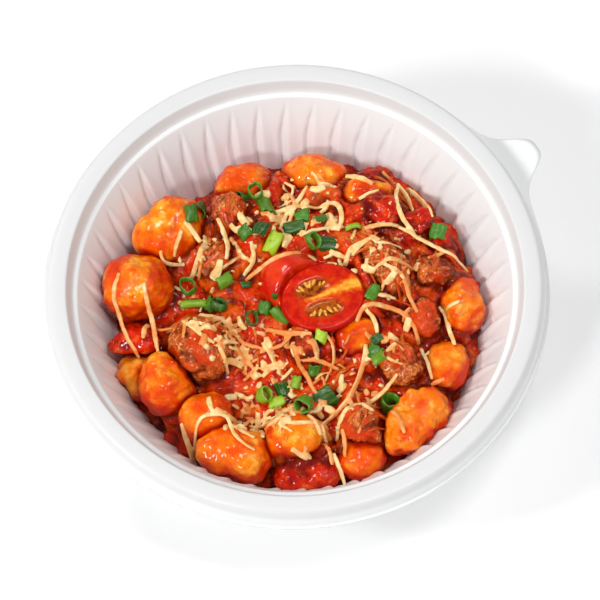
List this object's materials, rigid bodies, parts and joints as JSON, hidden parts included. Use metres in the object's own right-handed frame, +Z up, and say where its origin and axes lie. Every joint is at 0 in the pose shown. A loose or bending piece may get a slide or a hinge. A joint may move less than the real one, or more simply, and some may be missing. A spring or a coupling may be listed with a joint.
{
  "type": "bowl of potato gnocchi in meat sauce",
  "caption": "Takeaway bowl of potato gnocchi in tomato and meat sauce, topped with a halved cherry tomato, grated cheese and spring onion.",
  "frame": {"origin": "middle of the bowl's base, on the surface that it stands on", "axes": "+Z up, out of the open bowl; +X to the right and -Y towards the eater, with the pull tab of the rim 32 degrees from +X towards +Y"},
  "size_m": [0.168, 0.168, 0.056],
  "materials": {
    "bowl": "thin translucent white plastic, softly glossy",
    "sauce": "wet chunky tomato sauce",
    "gnocchi": "boiled potato dough glazed with orange sauce",
    "meat": "cooked minced and shredded meat, moist",
    "tomato": "wet tomato skin and flesh",
    "cheese": "grated hard cheese, part melted",
    "spring_onion": "fresh chopped green leaves"
  },
  "bodies": {
    "root": {"bowl": "bowl", "sauce": "sauce", "gnocchi_back_left": "gnocchi", "gnocchi_back": "gnocchi", "gnocchi_back_right": "gnocchi", "gnocchi_left_large": "gnocchi", "gnocchi_left_round": "gnocchi", "gnocchi_left_low": "gnocchi", "gnocchi_left_tall": "gnocchi", "gnocchi_front_left_small": "gnocchi", "gnocchi_front_left_long": "gnocchi", "gnocchi_front": "gnocchi", "gnocchi_front_right_small": "gnocchi", "gnocchi_front_right_long": "gnocchi", "gnocchi_right_low": "gnocchi", "gnocchi_right": "gnocchi", "gnocchi_middle": "gnocchi", "meatball": "meat", "meat_back_left": "meat", "meat_back_left_small": "meat", "meat_left": "meat", "meat_shredded": "meat", "meat_right": "meat", "meat_right_low": "meat", "meat_right_front": "meat", "meat_front": "meat", "meat_middle": "meat", "tomato_back_small": "tomato", "tomato_back": "tomato", "tomato_back_right": "tomato", "tomato_right": "tomato", "tomato_front": "tomato", "tomato_left_wedge": "tomato", "cherry_tomato_cut": "tomato", "cherry_tomato_skin": "tomato"}
  },
  "joints": []
}
